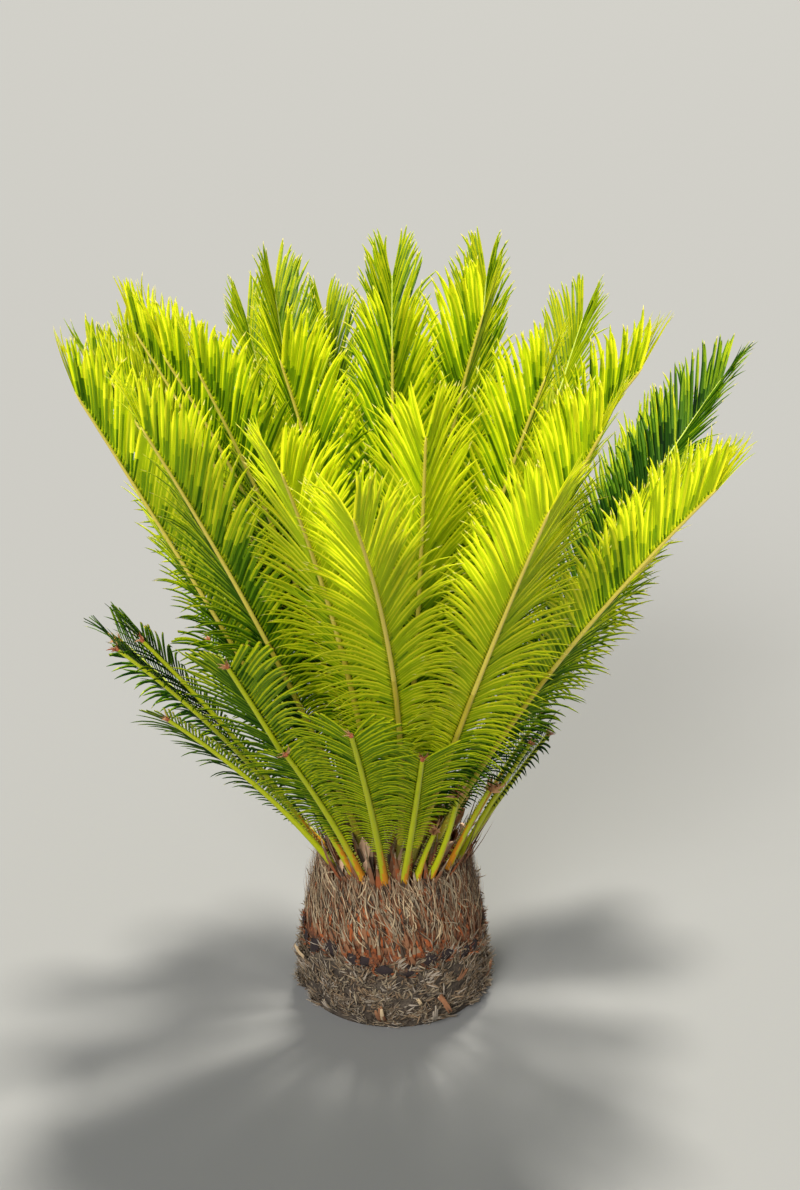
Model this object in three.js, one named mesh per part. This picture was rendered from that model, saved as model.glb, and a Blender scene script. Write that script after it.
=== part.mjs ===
// A sago palm: a short barrel of a trunk with a vase of young fronds over a ring of old, cut-back ones.
// Millimetres and degrees, +Z up, with the origin in the middle of the flat cut at ground level.
// Azimuth 0 is +X and 90 is +Y. A lean is measured from the vertical.
import * as THREE from "three";

// Trunk: radius at each height, from the flat cut to the shoulder
const TRUNK_OUTLINE = [[123, 0], [127, 20], [124, 60], [119, 95], [112, 125], [106, 150], [101, 172], [97, 183]];
const CROWN_TOP = 222;
const SCALE_DEPTH = 4;
const SCALE_COLUMNS = 21;
const STEPS_PER_SCALE = 3;
const ROWS_PER_SCALE = 2;
const TRUNK_ROWS = 14;

// Fronds: the rib's section at the foot and at the tip, and the leaf teeth along it
const RIB_WIDTH = [8, 3];
const RIB_DEPTH = [8, 3.4];
const SEAT_GAP = 0.35;
const YOUNG_FOOT_RADIUS = 32;
const FOOT_SPREAD = 1;
const OLD_FOOT_RADIUS = 85;
const BARE_STALK = 75;
const TOOTH_PITCH = 52;
const LEAF_LENGTH = 122;
const TIP_POINT = 12;
// Along the leafy stretch from 0 to 1: how long a leaf is, how far it turns away from the rib, how far
// it folds up from the blade's plane, and how far its tip sinks as a share of its length
const LEAF_SIZE = [[0, 0.2], [0.2, 0.4], [0.35, 0.62], [0.55, 0.92], [0.65, 1], [0.88, 1], [1, 0.6]];
const LEAF_TURN = [[0, 66], [0.2, 57], [0.5, 45], [0.75, 35], [0.9, 28], [1, 18]];
const LEAF_KEEL = [[0, 2], [0.45, 8], [0.6, 22], [0.75, 42], [0.9, 52], [1, 54]];
const LEAF_DROOP = [[0, 0.4], [0.35, 0.32], [0.6, 0.12], [0.8, 0.03], [1, 0]];
// The leafy stretch that an old frond had before it was cut, and how long and how limp its leaves are
// beside a young frond's
const OLD_LEAFY = 600;
const OLD_SIZE = 1.1;
const OLD_DROOP = 0.4;
// An old frond cut back shorter than this has no leaves left
const LEAFLESS = 205;
const CUT_OVERHANG = 30;

// A tooth that would touch another piece is tried again at these shares of its length, then left out
const TOOTH_TRIES = [1, 0.85, 0.7, 0.55, 0.4, 0.28];
const CLEARANCE = 0.5;

const YOUNG_COLOUR = 0xa8c41e;
const OLD_COLOUR = 0x4f7f1c;
const TRUNK_COLOUR = 0x6d5846;

// Young fronds: azimuth, lean at the foot, lean at the tip, rib length, sideways swing at the tip, how
// much further the blade folds up than the rule says, and how far it rolls to one side at the foot
const YOUNG_FRONDS = [
  // Left, outer and then inner
  [219, 27, 30, 785, 0, 4, -30],
  [240, 27, 34, 795, -25, 2, -26],
  [206, 12, 30, 770, -5, 4, -10],
  [221, 11, 33, 770, 0, 4, -8],
  [235, 14, 33, 780, 0, 4, -6],
  // Front
  [249, 10, 30, 770, -10, 0, 0],
  [257, 22, 42, 775, -5, -6, -6],
  [275, 31, 44, 820, -85, -8, 0],
  [279, 21, 34, 765, -30, -6, 0],
  [286, 34, 37, 780, 10, -8, 20],
  [270, 12, 24, 775, 0, 0, 0],
  // Right
  [296, 25, 35, 790, 15, 0, 6],
  [298, 15, 30, 770, 0, 0, 0],
  [294, 1, 27, 775, 10, 0, 0],
  [304, 31, 42, 785, 35, 2, 16],
  [357, 21, 48, 610, 0, -4, 0],
  [317, 10, 39, 780, 5, 0, 0],
  [44, 44, 52, 780, 0, -8, 0],
  // Back
  [113, 42, 39, 775, -10, 0, 0],
  [115, 32, 31, 760, -30, 0, 0],
  [101, 41, 43, 775, -10, 0, 0],
  [91, 28, 35, 775, -5, -4, 0],
  [70, 34, 25, 770, 25, 0, 0],
  [61, 39, 41, 775, 5, 0, 0],
  // Far side, hidden from the front
  [82, 46, 48, 680, 0, 0, 0],
  [134, 38, 42, 720, 0, 0, 0],
  [150, 32, 36, 710, 0, 0, 0],
  [168, 20, 28, 700, 0, 0, 0],
  [186, 20, 28, 700, 0, 0, 0],
  [52, 52, 54, 720, 0, 0, 0],
  [26, 34, 50, 580, 0, 0, 0],
  [12, 27, 46, 560, 0, 0, 0],
  [339, 20, 41, 580, 0, 0, 0],
  [321, 26, 40, 600, 0, 0, 0],
  [142, 14, 26, 580, 0, 0, 0],
  [178, 10, 20, 580, 0, 0, 0],
  [100, 14, 22, 520, 0, 0, 0],
  [62, 14, 24, 560, 0, 0, 0],
  [22, 12, 24, 560, 0, 0, 0],
];

// Old fronds, cut back: the same, with the lean and the swing at the cut, and the length to the cut
const OLD_FRONDS = [
  [196, 30, 46, 435, 20, -6, -26],
  [204, 29, 39, 440, 10, -6, -26],
  [212, 33, 48, 360, 0, -6, -26],
  [236, 31, 35, 465, 5, -6, -22],
  [244, 32, 38, 315, -10, -6, -22],
  [263, 34, 38, 395, -8, -4, 0],
  [278, 34, 34, 320, -3, -4, 0],
  [289, 26, 26, 110, 9, 0, 0],
  [301, 32, 28, 200, -21, 0, 10],
  [320, 24, 26, 160, 5, 0, 12],
  [340, 24, 30, 215, 0, 0, 12],
  // Far side
  [356, 30, 34, 215, 0, -4, 0],
  [14, 30, 34, 215, 0, -4, 0],
  [36, 34, 36, 280, 0, -4, 0],
  [62, 36, 46, 260, 0, -4, 0],
  [91, 44, 48, 380, 0, -4, 0],
  [107, 36, 42, 300, 0, -4, 0],
  [130, 40, 48, 440, 0, -4, 0],
  [152, 34, 42, 320, 0, -4, 0],
  [176, 38, 46, 400, 0, -4, 0],
];

const up = new THREE.Vector3(0, 0, 1);

function between(stops, x) {
  const last = stops.length - 1;
  const next = Math.min(Math.max(stops.findIndex((stop) => stop[0] > x), 1), last);
  const [x0, y0] = stops[next - 1];
  const [x1, y1] = stops[next];
  const share = THREE.MathUtils.clamp((x - x0) / (x1 - x0), 0, 1);
  return x >= stops[last][0] ? stops[last][1] : y0 + (y1 - y0) * share;
}

function crownHeight(radius) {
  const [shoulderRadius, shoulderHeight] = TRUNK_OUTLINE[TRUNK_OUTLINE.length - 1];
  return CROWN_TOP - (CROWN_TOP - shoulderHeight) * (radius / shoulderRadius);
}

// Trunk: rings of points up the outline, with spiral rows of leaf-base scales, closed by a flat
// cut below and a cone above
function trunkGeometry() {
  const outline = TRUNK_OUTLINE.map(([radius, height]) => [height, radius]);
  const shoulderHeight = outline[outline.length - 1][0];
  const around = SCALE_COLUMNS * STEPS_PER_SCALE;
  const points = [];
  const faces = [];
  for (let row = 0; row <= TRUNK_ROWS; row += 1) {
    const height = (shoulderHeight * row) / TRUNK_ROWS;
    const band = Math.floor(row / ROWS_PER_SCALE);
    for (let step = 0; step < around; step += 1) {
      const raised = (step + band) % STEPS_PER_SCALE === 0 && row % ROWS_PER_SCALE === 1;
      const radius = between(outline, height) - (raised || row === TRUNK_ROWS ? 0 : SCALE_DEPTH);
      const angle = (step / around) * 2 * Math.PI;
      points.push(new THREE.Vector3(radius * Math.cos(angle), radius * Math.sin(angle), height));
    }
  }
  for (let row = 0; row < TRUNK_ROWS; row += 1) {
    for (let step = 0; step < around; step += 1) {
      const a = row * around + step;
      const b = row * around + ((step + 1) % around);
      faces.push([a, b, b + around], [a, b + around, a + around]);
    }
  }
  const foot = points.push(new THREE.Vector3(0, 0, 0)) - 1;
  const top = points.push(new THREE.Vector3(0, 0, CROWN_TOP)) - 1;
  for (let step = 0; step < around; step += 1) {
    const next = (step + 1) % around;
    faces.push([foot, next, step]);
    faces.push([top, TRUNK_ROWS * around + step, TRUNK_ROWS * around + next]);
  }
  return { points, faces };
}

// The stations of a rib: where each one is, which way it runs, how wide and deep its section is, how
// much further its leaves fold up, and its place along the leafy stretch
function ribStations([azimuth, footLean, tipLean, length, swing, fold, roll], old) {
  const turn = THREE.MathUtils.degToRad(azimuth);
  const out = new THREE.Vector3(Math.cos(turn), Math.sin(turn), 0);
  const side = new THREE.Vector3(-Math.sin(turn), Math.cos(turn), 0);
  const footRadius = old ? OLD_FOOT_RADIUS : YOUNG_FOOT_RADIUS + FOOT_SPREAD * footLean;
  const leafy = Math.max(length - BARE_STALK, 0);
  const teeth = old && length < LEAFLESS ? 0 : Math.round(leafy / TOOTH_PITCH);
  const stalk = teeth ? BARE_STALK : length;
  const lengths = [0, stalk / 2];
  for (let tooth = 0; tooth <= teeth; tooth += 1) {
    lengths.push(stalk + (teeth ? (leafy * tooth) / teeth : 0));
  }
  const place = out.clone().multiplyScalar(footRadius).setZ(crownHeight(footRadius) + SEAT_GAP);
  let before = 0;
  return lengths.map((along) => {
    const share = along / length;
    const lean = THREE.MathUtils.degToRad(footLean + (tipLean - footLean) * share);
    const middle = THREE.MathUtils.degToRad(footLean + ((tipLean - footLean) * (along + before)) / 2 / length);
    place.addScaledVector(out, Math.sin(middle) * (along - before));
    place.addScaledVector(up, Math.cos(middle) * (along - before));
    before = along;
    const along3 = out.clone().multiplyScalar(Math.sin(lean)).addScaledVector(up, Math.cos(lean));
    along3.addScaledVector(side, (2 * swing * share) / length).normalize();
    const inward = out.clone().multiplyScalar(-Math.cos(lean)).addScaledVector(up, Math.sin(lean));
    const across = new THREE.Vector3().crossVectors(along3, inward).normalize();
    const rolled = roll * (1 - along / (old ? BARE_STALK + OLD_LEAFY : length));
    across.applyAxisAngle(along3, -THREE.MathUtils.degToRad(rolled));
    inward.crossVectors(across, along3);
    return {
      centre: place.clone().addScaledVector(side, swing * share * share),
      along: along3,
      inward,
      across,
      halfWidth: THREE.MathUtils.lerp(RIB_WIDTH[0], RIB_WIDTH[1], share) / 2,
      halfDepth: THREE.MathUtils.lerp(RIB_DEPTH[0], RIB_DEPTH[1], share) / 2,
      fold,
      leafShare: teeth ? (along - stalk) / (old ? OLD_LEAFY : leafy) : -1,
      toEnd: length - along,
    };
  });
}

// The four corners of a rib's section: inner and outer on the one side, then on the other
function corners(station, spare = 0) {
  const corner = (across, inward) =>
    station.centre
      .clone()
      .addScaledVector(station.across, across * (station.halfWidth + spare))
      .addScaledVector(station.inward, inward * (station.halfDepth + spare));
  return [corner(1, 1), corner(1, -1), corner(-1, -1), corner(-1, 1)];
}

function seated(point) {
  return point.clone().setZ(crownHeight(Math.hypot(point.x, point.y)) + SEAT_GAP);
}

function toothTip(lower, upper, sign, frond, share) {
  const leafShare = (lower.leafShare + upper.leafShare) / 2;
  const turn = THREE.MathUtils.degToRad(between(LEAF_TURN, leafShare));
  const keel = THREE.MathUtils.degToRad(between(LEAF_KEEL, leafShare) + upper.fold);
  const direction = upper.along
    .clone()
    .multiplyScalar(Math.cos(turn))
    .addScaledVector(upper.across, sign * Math.sin(turn) * Math.cos(keel))
    .addScaledVector(upper.inward, Math.sin(turn) * Math.sin(keel))
    .addScaledVector(up, -between(LEAF_DROOP, leafShare) * (frond.old ? OLD_DROOP : 1));
  let reach = LEAF_LENGTH * between(LEAF_SIZE, leafShare) * (frond.old ? OLD_SIZE : 1) * share;
  if (frond.old) {
    const room = (lower.toEnd + upper.toEnd) / 2 + CUT_OVERHANG;
    reach = Math.min(reach, room / Math.cos(turn));
  }
  return lower.centre.clone().add(upper.centre).multiplyScalar(0.5).addScaledVector(direction, reach);
}

// A convex piece, for the test of what touches what: its box, triangles and edges
function convex(points, triangles) {
  const faces = triangles.map((face) => face.map((index) => points[index]));
  const edges = faces.flatMap(([a, b, c]) => [[a, b], [b, c], [c, a]]);
  return { box: new THREE.Box3().setFromPoints(points), faces, edges };
}

const BLOCK_FACES = [
  [0, 1, 5], [0, 5, 4], [1, 2, 6], [1, 6, 5], [2, 3, 7], [2, 7, 6],
  [3, 0, 4], [3, 4, 7], [0, 2, 1], [0, 3, 2], [4, 5, 6], [4, 6, 7],
];
const TOOTH_FACES = [[0, 1, 4], [1, 2, 4], [2, 3, 4], [3, 0, 4], [0, 2, 1], [0, 3, 2]];

function ribBlock(lower, upper) {
  return convex([...corners(lower, CLEARANCE), ...corners(upper, CLEARANCE)], BLOCK_FACES);
}

function toothBlock(lower, upper, sign, tip) {
  const low = corners(lower, CLEARANCE);
  const high = corners(upper, CLEARANCE);
  const base = sign > 0 ? [low[0], low[1], high[1], high[0]] : [low[2], low[3], high[3], high[2]];
  return convex([...base, tip], TOOTH_FACES);
}

const ray = new THREE.Ray();
const hit = new THREE.Vector3();

function edgesPierce(one, other) {
  return one.edges.some(([start, end]) => {
    const length = start.distanceTo(end);
    ray.origin.copy(start);
    ray.direction.subVectors(end, start).divideScalar(length);
    return other.faces.some(
      ([a, b, c]) => ray.intersectTriangle(a, b, c, false, hit) && hit.distanceTo(start) <= length,
    );
  });
}

function touches(one, other) {
  return one.box.intersectsBox(other.box) && (edgesPierce(one, other) || edgesPierce(other, one));
}

// Gives every frond its teeth, from the crown's outside inwards: the tips of all fronds first
function growTeeth(fronds) {
  const placed = fronds.flatMap((frond) =>
    frond.stations.slice(1).map((upper, index) => ({
      frond,
      solid: ribBlock(frond.stations[index], upper),
    })),
  );
  const wanted = fronds.flatMap((frond) =>
    frond.stations.slice(3).flatMap((upper, index) =>
      [1, -1].map((sign) => ({ frond, interval: index + 3, sign, height: upper.centre.length() })),
    ),
  );
  wanted.sort((one, other) => other.height - one.height);
  for (const { frond, interval, sign } of wanted) {
    const lower = frond.stations[interval - 1];
    const upper = frond.stations[interval];
    for (const share of TOOTH_TRIES) {
      const tip = toothTip(lower, upper, sign, frond, share);
      const solid = toothBlock(lower, upper, sign, tip);
      const blocked = placed.some((other) => other.frond !== frond && touches(solid, other.solid));
      if (!blocked) {
        placed.push({ frond, solid });
        frond.tips.set(`${interval} ${sign}`, tip);
        break;
      }
    }
  }
}

// A frond's closed skin: the rib's section swept along its stations, with each side face either
// plain or drawn out to a tooth's tip
function frondGeometry(frond) {
  const points = [];
  const faces = [];
  const sections = frond.stations.map((station, index) =>
    corners(station).map((corner) => points.push(index ? corner : seated(corner)) - 1),
  );
  const quad = (a, b, c, d) => faces.push([a, b, c], [a, c, d]);
  const pyramid = (a, b, c, d, tip) => {
    const end = points.push(tip) - 1;
    faces.push([a, b, end], [b, c, end], [c, d, end], [d, a, end]);
  };
  for (let interval = 1; interval < sections.length; interval += 1) {
    const low = sections[interval - 1];
    const high = sections[interval];
    for (let face = 0; face < 4; face += 1) {
      const next = (face + 1) % 4;
      const around = [low[face], low[next], high[next], high[face]];
      const tip = face % 2 === 0 && frond.tips.get(`${interval} ${face === 0 ? 1 : -1}`);
      if (tip) {
        pyramid(...around, tip);
      } else {
        quad(...around);
      }
    }
  }
  const [a, b, c, d] = sections[0];
  quad(d, c, b, a);
  const end = sections[sections.length - 1];
  if (frond.old) {
    quad(...end);
  } else {
    const { centre, along } = frond.stations[frond.stations.length - 1];
    pyramid(...end, centre.clone().addScaledVector(along, TIP_POINT));
  }
  return { points, faces };
}

function meshOf({ points, faces }, name, colour, roughness) {
  const geometry = new THREE.BufferGeometry();
  geometry.setAttribute("position", new THREE.Float32BufferAttribute(points.flatMap((p) => p.toArray()), 3));
  geometry.setIndex(faces.flat());
  geometry.computeVertexNormals();
  const material = new THREE.MeshStandardMaterial({ color: colour, roughness, metalness: 0 });
  const mesh = new THREE.Mesh(geometry, material);
  mesh.name = name;
  return mesh;
}

function frondsOf(list, old) {
  return list.map((row, index) => ({
    name: `${old ? "old" : "young"}_frond_${String(index + 1).padStart(2, "0")}`,
    old,
    stations: ribStations(row, old),
    tips: new Map(),
  }));
}

const palm = new THREE.Group();
palm.add(meshOf(trunkGeometry(), "trunk", TRUNK_COLOUR, 0.95));

const fronds = [...frondsOf(YOUNG_FRONDS, false), ...frondsOf(OLD_FRONDS, true)];
growTeeth(fronds);
for (const frond of fronds) {
  palm.add(meshOf(frondGeometry(frond), frond.name, frond.old ? OLD_COLOUR : YOUNG_COLOUR, 0.5));
}

export default palm;
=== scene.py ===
"""A sago palm in the ground: a short barrel of a trunk clad in old leaf bases, a ring of old, cut-back
fronds on it, and a vase of young ones over them.

Metres and degrees, +Z up, with the origin in the middle of the flat cut at ground level. Azimuth 0
is +X and 90 is +Y. A lean is measured from the vertical.
"""

import bpy
import numpy as np
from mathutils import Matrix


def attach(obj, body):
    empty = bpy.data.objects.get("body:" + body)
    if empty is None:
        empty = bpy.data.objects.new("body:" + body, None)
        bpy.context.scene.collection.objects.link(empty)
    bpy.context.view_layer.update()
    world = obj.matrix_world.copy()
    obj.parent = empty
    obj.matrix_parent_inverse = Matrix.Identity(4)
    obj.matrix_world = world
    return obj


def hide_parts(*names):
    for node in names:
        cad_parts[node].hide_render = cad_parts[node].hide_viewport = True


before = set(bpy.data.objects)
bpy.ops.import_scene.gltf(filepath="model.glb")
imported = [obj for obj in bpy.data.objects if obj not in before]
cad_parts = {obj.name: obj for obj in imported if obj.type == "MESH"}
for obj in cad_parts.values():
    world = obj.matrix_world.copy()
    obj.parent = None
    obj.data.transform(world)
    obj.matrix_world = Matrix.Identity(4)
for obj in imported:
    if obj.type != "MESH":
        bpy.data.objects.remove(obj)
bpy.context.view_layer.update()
rng = np.random.default_rng(7)
UP = np.array([0, 0, 1.0])

# Camera: the photo's place and lens
CAMERA_PLACE = (0.008, -2.314, 1.441)
CAMERA_TILT = 21
CAMERA_LENS = 60

# Suns: the side that each shines from, how high it stands, how wide it looks, its strength and colour.
# The key stands behind the palm, so that the leaflets glow with the light that comes through them
SUNS = (
    ("key", 76, 62, 9, 6.4, (1, 0.97, 0.88)),
    ("fill", 252, 35, 26, 3.4, (1, 0.99, 0.97)),
)
ROOM_COLOUR = (0.9, 0.95, 1, 1)
ROOM_STRENGTH = 0.25
FLOOR_COLOUR = (0.21, 0.21, 0.206, 1)
FLOOR_REACH = 40

# Tones of ribs and of husks, in the order of their materials below
(RIB_FELT, RIB_OCHRE, RIB_GOLDEN, STALK_GREEN, RIB_PALE,
 STALK_ORANGE, CUT_SCAR, STALK_OLIVE, STALK_LIME, WITHERED) = range(10)
(FELT, RUST, BROWN, GREY, STRAW, DARK, EARTH, ASH, SCAR, SCRAP) = range(10)
# Tones of leaflets run from the most shaded, 0, to the sunniest, and on to those of a tip. The ones of
# the under side follow in the same order
LEAF_TONES = 7
YOUNG_SUNNIEST, YOUNG_TIP = 5, 6
OLD_SUNNIEST, OLD_TIP, OLD_CUT = 4, 5, 6
# Tones up to this one are darker on the half of a leaflet that turns from the light, by this factor
DIMMED = 5
DIM_FACTOR = 0.62

# Trunk: heights and the radius at each, from the flat cut to the shoulder, and the cone over it
TRUNK_OUTLINE = ((0, 0.123), (0.020, 0.127), (0.060, 0.124), (0.095, 0.119), (0.125, 0.112),
                 (0.150, 0.106), (0.172, 0.101), (0.183, 0.097))
CROWN_TOP = 0.222
# The heights where the weathered bark gives way to a row of scars, and they to the shaggy leaf bases,
# and how far and how often this border waves up and down round the trunk
BARK_TOP = 0.086
SHAG_FOOT = 0.108
BORDER_WAVE = 0.006
BORDER_WAVES = 5

# The barrel's mesh, and how far it lies inside the outline
BARREL_COLUMNS = 288
BARREL_ROWS = 96
BARREL_INSET = 0.0035
# Leaf bases: how many stand in each row, the rows' heights, and from where they droop over the rim
SHAG_COLUMNS = 84
SHAG_ROWS = np.arange(SHAG_FOOT - 0.018, 0.184, 0.0066)
RIM_FOOT = 0.165
RIM_HEIGHT = 0.018
# How many of each small thing clothe the trunk and its crown
SCARS_AROUND = 27
HAIRS_ROUND_SCAR = 34
FELT_PATCHES = 150
FIBRES = 1300
BARK_TUFTS = 560
FLAKES_IN_TUFT = 15
SPLINTERS_IN_STUB = 5
CROWN_SCALES = 320
SCRAPS = 22
# Tones along a scale of the crown, from foot to tip
SCALE_TONES = ((FELT, RUST, BROWN, BROWN), (RUST, RUST, BROWN, GREY), (RUST, DARK, BROWN, BROWN),
               (FELT, FELT, RUST, GREY))

# Stubs of old leaves in the weathered bark: azimuth, height, how far each turns from upright, length,
# half its width, and its tone
STUBS = (
    (264, 0.016, 4, 0.034, 0.0052, RUST),
    (297, 0.044, -146, 0.028, 0.0042, RUST),
    (294, 0.010, 8, 0.034, 0.0040, ASH),
    (202, 0.060, 60, 0.022, 0.0035, STRAW),
    (231, 0.016, 20, 0.020, 0.0030, ASH),
    (310, 0.056, -40, 0.020, 0.0032, RUST),
    (286, 0.036, 30, 0.014, 0.0026, STRAW),
    (340, 0.030, -20, 0.024, 0.0045, RUST),
    (30, 0.022, 10, 0.026, 0.0050, RUST),
    (75, 0.050, -50, 0.022, 0.0036, STRAW),
    (120, 0.026, 24, 0.024, 0.0046, RUST),
    (165, 0.044, -120, 0.022, 0.0036, ASH),
)

# Outlines of blades: how far along each station is, and how wide the blade is there. A cut blade has
# its last station this far along what is left of it
CUT_STATION = 0.992
LEAFLET = ((0, 0.06, 0.25, 0.48, 0.68, 0.84, 0.94), (0.5, 0.9, 1, 1, 0.88, 0.64, 0.36))
STRAP = ((0, 0.25, 0.55, 0.82), (1, 0.95, 0.6, 0.3))
LENS = ((0, 0.15, 0.4, 0.7, 0.9), (0.3, 0.75, 1, 0.8, 0.4))
RHOMB = ((0, 0.25, 0.5, 0.75, 0.95), (0.1, 0.55, 1, 0.55, 0.1))
SPLINTER = ((0, 0.3, 0.6, 0.9), (1, 0.9, 1, 0.7))
FLAKE = ((0, 0.35, 0.75), (0.8, 1, 0.6))
THORN = ((0, 0.5), (1, 0.6))

# Fronds, as in the solids
RIB_WIDTH = (0.009, 0.0028)
RIB_DEPTH = (0.009, 0.0032)
YOUNG_FOOT_RADIUS = 0.032
FOOT_SPREAD = 0.001
OLD_FOOT_RADIUS = 0.085
BARE_STALK = 0.075
LEAF_LENGTH = 0.122
# Along the leafy stretch from 0 to 1: how long a leaflet is, how far it turns away from the rib, how
# far it folds up from the blade's plane, and how far its tip sinks as a share of its length
LEAF_SIZE = ((0, 0.2), (0.2, 0.4), (0.35, 0.62), (0.55, 0.92), (0.65, 1), (0.88, 1), (1, 0.6))
LEAF_TURN = ((0, 66), (0.2, 57), (0.5, 45), (0.75, 35), (0.9, 28), (1, 18))
LEAF_KEEL = ((0, 2), (0.45, 8), (0.6, 22), (0.75, 42), (0.9, 52), (1, 54))
LEAF_DROOP = ((0, 0.4), (0.35, 0.32), (0.6, 0.12), (0.8, 0.03), (1, 0))
# The leafy stretch that an old frond had before it was cut, and how long and how limp its leaflets are
# beside a young frond's
OLD_LEAFY = 0.600
OLD_SIZE = 1.1
OLD_DROOP = 0.4
CUT_OVERHANG = 0.030
# How far leaflets on a sheared side reach past the cut
SHEARED_OVERHANG = 0.004
# An old frond cut back shorter than this has no leaflets left
LEAFLESS = 0.205

# Ribs: how much wider they are at the foot and how soon that fades, how far an old one has tapered at
# its cut beside a young one's tip, and where they have stations
FOOT_FLARE = 0.7
FLARE_HEIGHT = 0.018
OLD_TAPER = 0.55
RIB_SIDES = 12
FOOT_STATIONS = np.arange(0, 0.07, 0.007)
STEM_START = 0.072
STEM_STEP = 0.03
# Up to which height a foot is felted, a young stalk is olive and one side of an old stalk is orange
FELT_TOP = 0.010
OLIVE_TOP = 0.065
FLUSH_TOP = 0.095

# Leaflets: how far apart they stand along the rib, and half the width of the widest
LEAFLET_PITCH = 0.0058
LEAFLET_HALF_WIDTH = 0.0027
# Along the leafy stretch from 0 to 1: the share of that width that the leaflets have
LEAF_WIDTH = ((0, 0.5), (0.3, 0.68), (0.65, 1))
# How far above the bare stalk the leaflets are still no more than thorns, at least and at most
YOUNG_THORNY = (0.035, 0.075)
OLD_THORNY = (0.008, 0.024)
# How far above the lowest leaflet the leaflets reach their full size
FIRST_LEAFLETS = 0.13
# The share of leaflets that are stunted, and how long these are beside the others
STUNTED = 0.08
STUNTED_SIZE = (0.7, 0.95)
# Painted sunlight: how light leaflets are at the foot of the blade, and how much lighter they are at its
# sunlit tip
YOUNG_PAINTED_LIGHT = (2.8, 1.9)
OLD_PAINTED_LIGHT = (1.8, 0.8)
# How much darker full shade makes a leaflet. Fronds that lean less than about UPRIGHT degrees are shaded
# low down, and all the young ones over about this share of their leafy stretch
SHADE = 6
UPRIGHT = 24
SHADED_SHARE = 0.34
# How many patches of shade a frond has, and the roll that darkens its hanging row by one tone
PATCHES = 1.6
ROLL_PER_TONE = 16
# Withered curls round the cut of an old frond, how many and how long: with leaflets left and without
CURLS = (9, 0.015)
BARE_CURLS = (16, 0.028)
# How much of a leaflet's look is light that comes through it, and how deep the grain of ribs and husks is
LIGHT_THROUGH = 0.6
WOOD_GRAIN = 0.0006
# The young fronds' leaflets are shared out over so many pieces
YOUNG_PIECES = 3

# Young fronds: azimuth, lean at the foot, lean at the tip, rib length, sideways swing at the tip, how
# much further the blade folds up than the rule says, how far it rolls to one side at the foot, and how
# sunlit it is
YOUNG_FRONDS = (
    # Left, outer and then inner
    (219, 27, 30, 0.785, 0, 4, -30, 0.2),
    (240, 27, 34, 0.795, -0.025, 2, -26, 0),
    (206, 12, 30, 0.770, -0.005, 4, -10, 0.2),
    (221, 11, 33, 0.770, 0, 4, -8, 0),
    (235, 14, 33, 0.780, 0, 4, -6, -0.2),
    # Front
    (249, 10, 30, 0.770, -0.010, 0, 0, 0),
    (257, 22, 42, 0.775, -0.005, -6, -6, 2.8),
    (275, 31, 44, 0.820, -0.085, -8, 0, 2.6),
    (279, 21, 34, 0.765, -0.030, -6, 0, 1.6),
    (286, 34, 37, 0.780, 0.010, -8, 20, 2.6),
    (270, 12, 24, 0.775, 0, 0, 0, -0.3),
    # Right
    (296, 25, 35, 0.790, 0.015, 0, 6, 0.5),
    (298, 15, 30, 0.770, 0, 0, 0, 0.4),
    (294, 1, 27, 0.775, 0.010, 0, 0, 0),
    (304, 31, 42, 0.785, 0.035, 2, 16, 0.6),
    (357, 21, 48, 0.610, 0, -4, 0, -0.2),
    (317, 10, 39, 0.780, 0.005, 0, 0, 0.3),
    (44, 44, 52, 0.780, 0, -8, 0, -1.8),
    # Back
    (113, 42, 39, 0.775, -0.010, 0, 0, 0),
    (115, 32, 31, 0.760, -0.030, 0, 0, 0),
    (101, 41, 43, 0.775, -0.010, 0, 0, -0.1),
    (91, 28, 35, 0.775, -0.005, -4, 0, 0),
    (70, 34, 25, 0.770, 0.025, 0, 0, -0.3),
    (61, 39, 41, 0.775, 0.005, 0, 0, 0.3),
    # Far side, hidden from the front
    (82, 46, 48, 0.680, 0, 0, 0, 0),
    (134, 38, 42, 0.720, 0, 0, 0, 0),
    (150, 32, 36, 0.710, 0, 0, 0, 0),
    (168, 20, 28, 0.700, 0, 0, 0, 0),
    (186, 20, 28, 0.700, 0, 0, 0, 0),
    (52, 52, 54, 0.720, 0, 0, 0, 0),
    (26, 34, 50, 0.580, 0, 0, 0, 0),
    (12, 27, 46, 0.560, 0, 0, 0, 0),
    (339, 20, 41, 0.580, 0, 0, 0, 0),
    (321, 26, 40, 0.600, 0, 0, 0, 0),
    (142, 14, 26, 0.580, 0, 0, 0, 0),
    (178, 10, 20, 0.580, 0, 0, 0, 0),
    (100, 14, 22, 0.520, 0, 0, 0, 0),
    (62, 14, 24, 0.560, 0, 0, 0, 0),
    (22, 12, 24, 0.560, 0, 0, 0, 0),
)

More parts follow.
